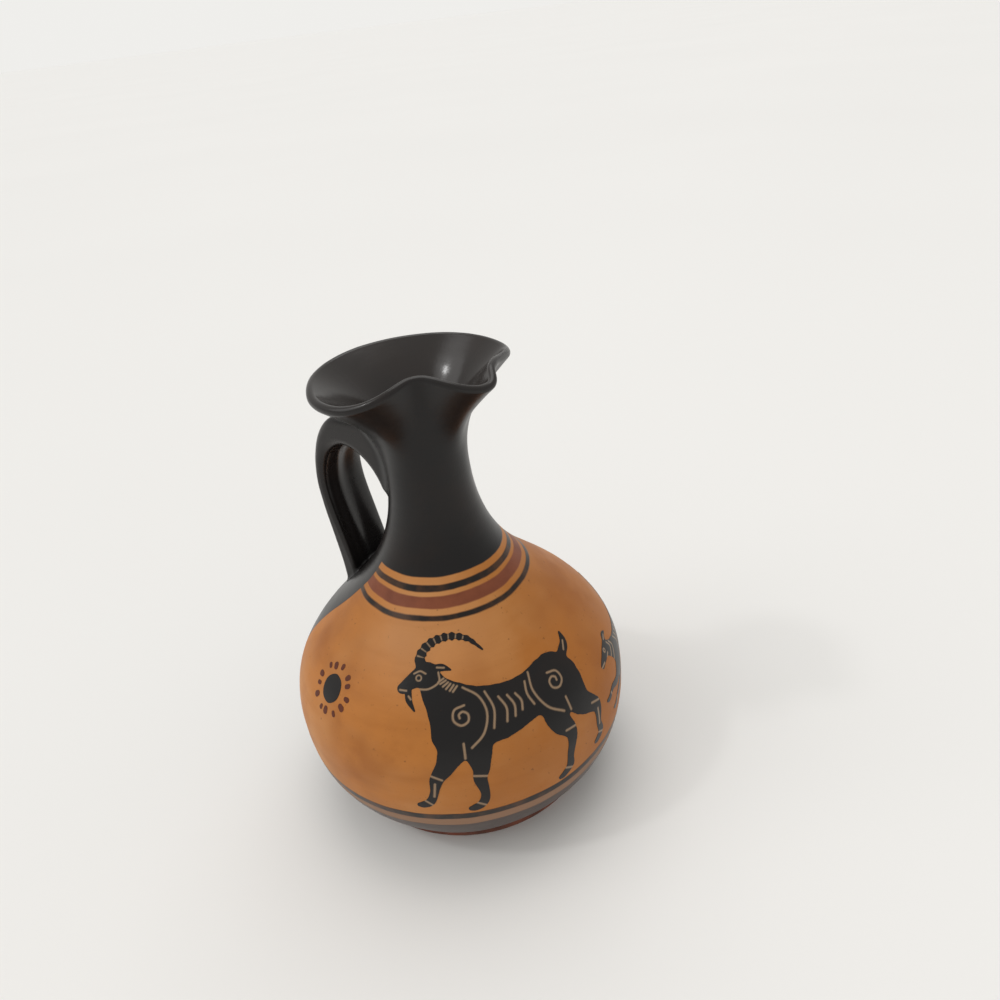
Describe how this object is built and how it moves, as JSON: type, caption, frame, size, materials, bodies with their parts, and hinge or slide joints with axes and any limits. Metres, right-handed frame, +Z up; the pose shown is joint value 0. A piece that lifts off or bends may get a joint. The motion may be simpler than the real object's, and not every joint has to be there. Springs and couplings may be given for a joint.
{
  "type": "small pottery jug",
  "caption": "Small black and orange clay jug with a globular belly, narrow neck, pinched pouring mouth and ribbed strap handle.",
  "frame": {"origin": "centre of the flat underside of the foot", "axes": "+Z up along the axis of the turned body; the handle stands on the -X side and the spout points to +X"},
  "size_m": [0.0744, 0.0744, 0.1017],
  "materials": {
    "bare_clay": "matt, unglazed",
    "painted_clay": "orange clay with black and red-brown slip, satin",
    "black_gloss": "satin black gloss slip"
  },
  "bodies": {
    "root": {"foot_disc": "bare_clay", "belly_bowl": "painted_clay", "shoulder_dome": "painted_clay", "neck": "black_gloss", "pinched_mouth": "black_gloss", "strap_handle": "black_gloss"}
  },
  "joints": []
}
